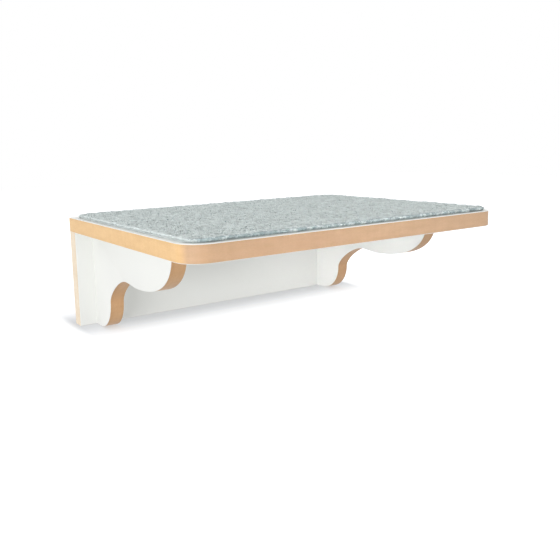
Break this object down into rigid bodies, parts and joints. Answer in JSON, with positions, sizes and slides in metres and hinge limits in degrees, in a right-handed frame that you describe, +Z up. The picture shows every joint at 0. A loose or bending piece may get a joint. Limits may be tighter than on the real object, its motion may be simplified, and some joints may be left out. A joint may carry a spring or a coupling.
{
  "type": "cat wall shelf",
  "caption": "Wall-hung cat shelf: white-faced board with bare tan edges, round front corners, a carpet mat, a full-width back plate and curved side brackets.",
  "frame": {"origin": "middle of the back plate's rear face, where the shelf meets the wall", "axes": "+X along the wall towards the shelf's right end as seen from the front, +Y into the wall, +Z up"},
  "size_m": [0.425, 0.315, 0.1412],
  "materials": {
    "fibreboard_core": "sanded and clear-lacquered fibreboard edge",
    "white_face": "smooth satin melamine",
    "carpet_pile": "short cut pile, pale grey-blue",
    "felt_backing": "needled felt",
    "hook_tape": "woven tape with moulded hooks",
    "beech": "turned and fluted",
    "zinc_steel": "bright zinc plated"
  },
  "bodies": {
    "shelf": {"board_core": "fibreboard_core", "plate_core": "fibreboard_core", "left_bracket_core": "fibreboard_core", "right_bracket_core": "fibreboard_core", "board_top_face": "white_face", "board_bottom_face": "white_face", "plate_front_face": "white_face", "plate_rear_face": "white_face", "left_bracket_outer_face": "white_face", "left_bracket_inner_face": "white_face", "right_bracket_outer_face": "white_face", "right_bracket_inner_face": "white_face", "hook_strip_1": "hook_tape", "hook_strip_2": "hook_tape", "hook_strip_3": "hook_tape", "hook_strip_4": "hook_tape", "dowel_1": "beech", "dowel_2": "beech", "dowel_3": "beech", "board_screw_1": "zinc_steel", "board_screw_2": "zinc_steel", "board_screw_3": "zinc_steel", "board_screw_4": "zinc_steel", "plate_screw_1": "zinc_steel", "plate_screw_2": "zinc_steel", "plate_screw_3": "zinc_steel", "plate_screw_4": "zinc_steel", "hanger_screw_1": "zinc_steel", "hanger_screw_2": "zinc_steel", "hanger_screw_3": "zinc_steel", "hanger_screw_4": "zinc_steel", "hanger_1": "zinc_steel", "hanger_2": "zinc_steel"},
    "mat": {"mat_backing": "felt_backing", "mat_pile": "carpet_pile"}
  },
  "joints": [
    {"name": "mat_lift", "type": "slide", "parent": "shelf", "child": "mat", "axis": [0, 0, 1], "range_m": [0, 0.1]}
  ]
}
